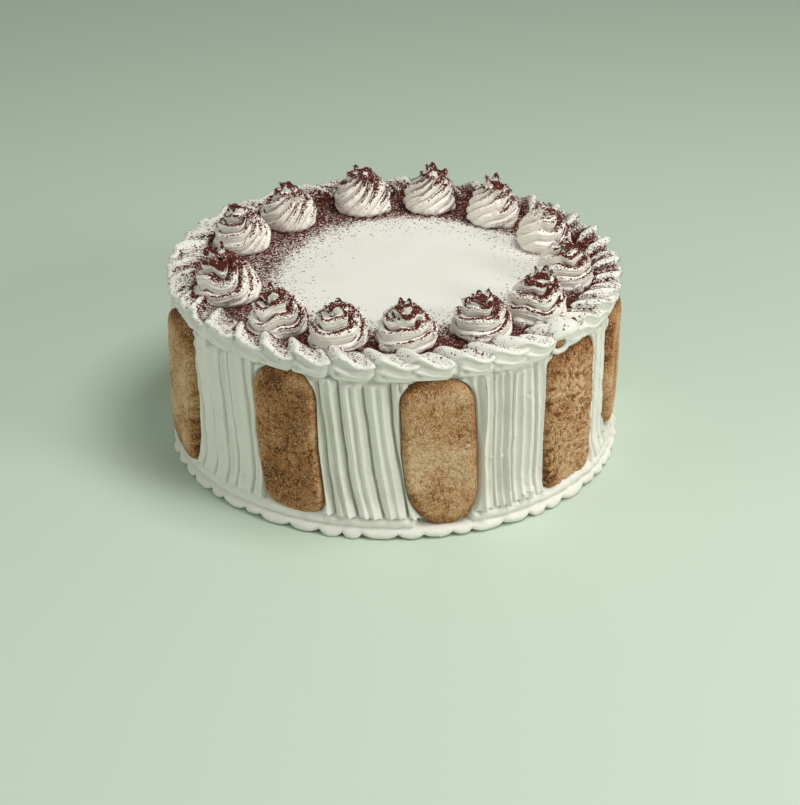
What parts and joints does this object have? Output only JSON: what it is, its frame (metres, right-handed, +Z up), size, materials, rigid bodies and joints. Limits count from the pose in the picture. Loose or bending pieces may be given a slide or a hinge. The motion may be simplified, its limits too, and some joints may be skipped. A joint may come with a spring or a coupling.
{
  "type": "charlotte cake",
  "caption": "Round cream cake with upright sponge fingers and combed cream round its side, piped edges, and piped swirls dusted with cocoa on top.",
  "frame": {"origin": "middle of the underside, on the surface that the cake stands on", "axes": "+Z up along the cake's axis; the front, as pictured, faces -Y; +X is to the right"},
  "size_m": [0.2513, 0.2509, 0.1249],
  "materials": {
    "smooth_cream": "spread whipped cream, smooth and softly glossy",
    "piped_cream": "piped and combed whipped cream, ridged",
    "sponge": "baked sponge finger, porous and sugary, golden at the rim",
    "cocoa": "dry cocoa powder, fine loose grains"
  },
  "bodies": {
    "root": {"cake_body": "smooth_cream", "foot_border": "piped_cream", "top_border": "piped_cream", "sponge_finger_01": "sponge", "sponge_finger_02": "sponge", "sponge_finger_03": "sponge", "sponge_finger_04": "sponge", "sponge_finger_05": "sponge", "sponge_finger_06": "sponge", "sponge_finger_07": "sponge", "sponge_finger_08": "sponge", "sponge_finger_09": "sponge", "side_cream_01": "piped_cream", "side_cream_02": "piped_cream", "side_cream_03": "piped_cream", "side_cream_04": "piped_cream", "side_cream_05": "piped_cream", "side_cream_06": "piped_cream", "side_cream_07": "piped_cream", "side_cream_08": "piped_cream", "side_cream_09": "piped_cream", "cream_swirl_01": "piped_cream", "cream_swirl_02": "piped_cream", "cream_swirl_03": "piped_cream", "cream_swirl_04": "piped_cream", "cream_swirl_05": "piped_cream", "cream_swirl_06": "piped_cream", "cream_swirl_07": "piped_cream", "cream_swirl_08": "piped_cream", "cream_swirl_09": "piped_cream", "cream_swirl_10": "piped_cream", "cream_swirl_11": "piped_cream", "cream_swirl_12": "piped_cream", "cream_swirl_13": "piped_cream"}
  },
  "joints": []
}
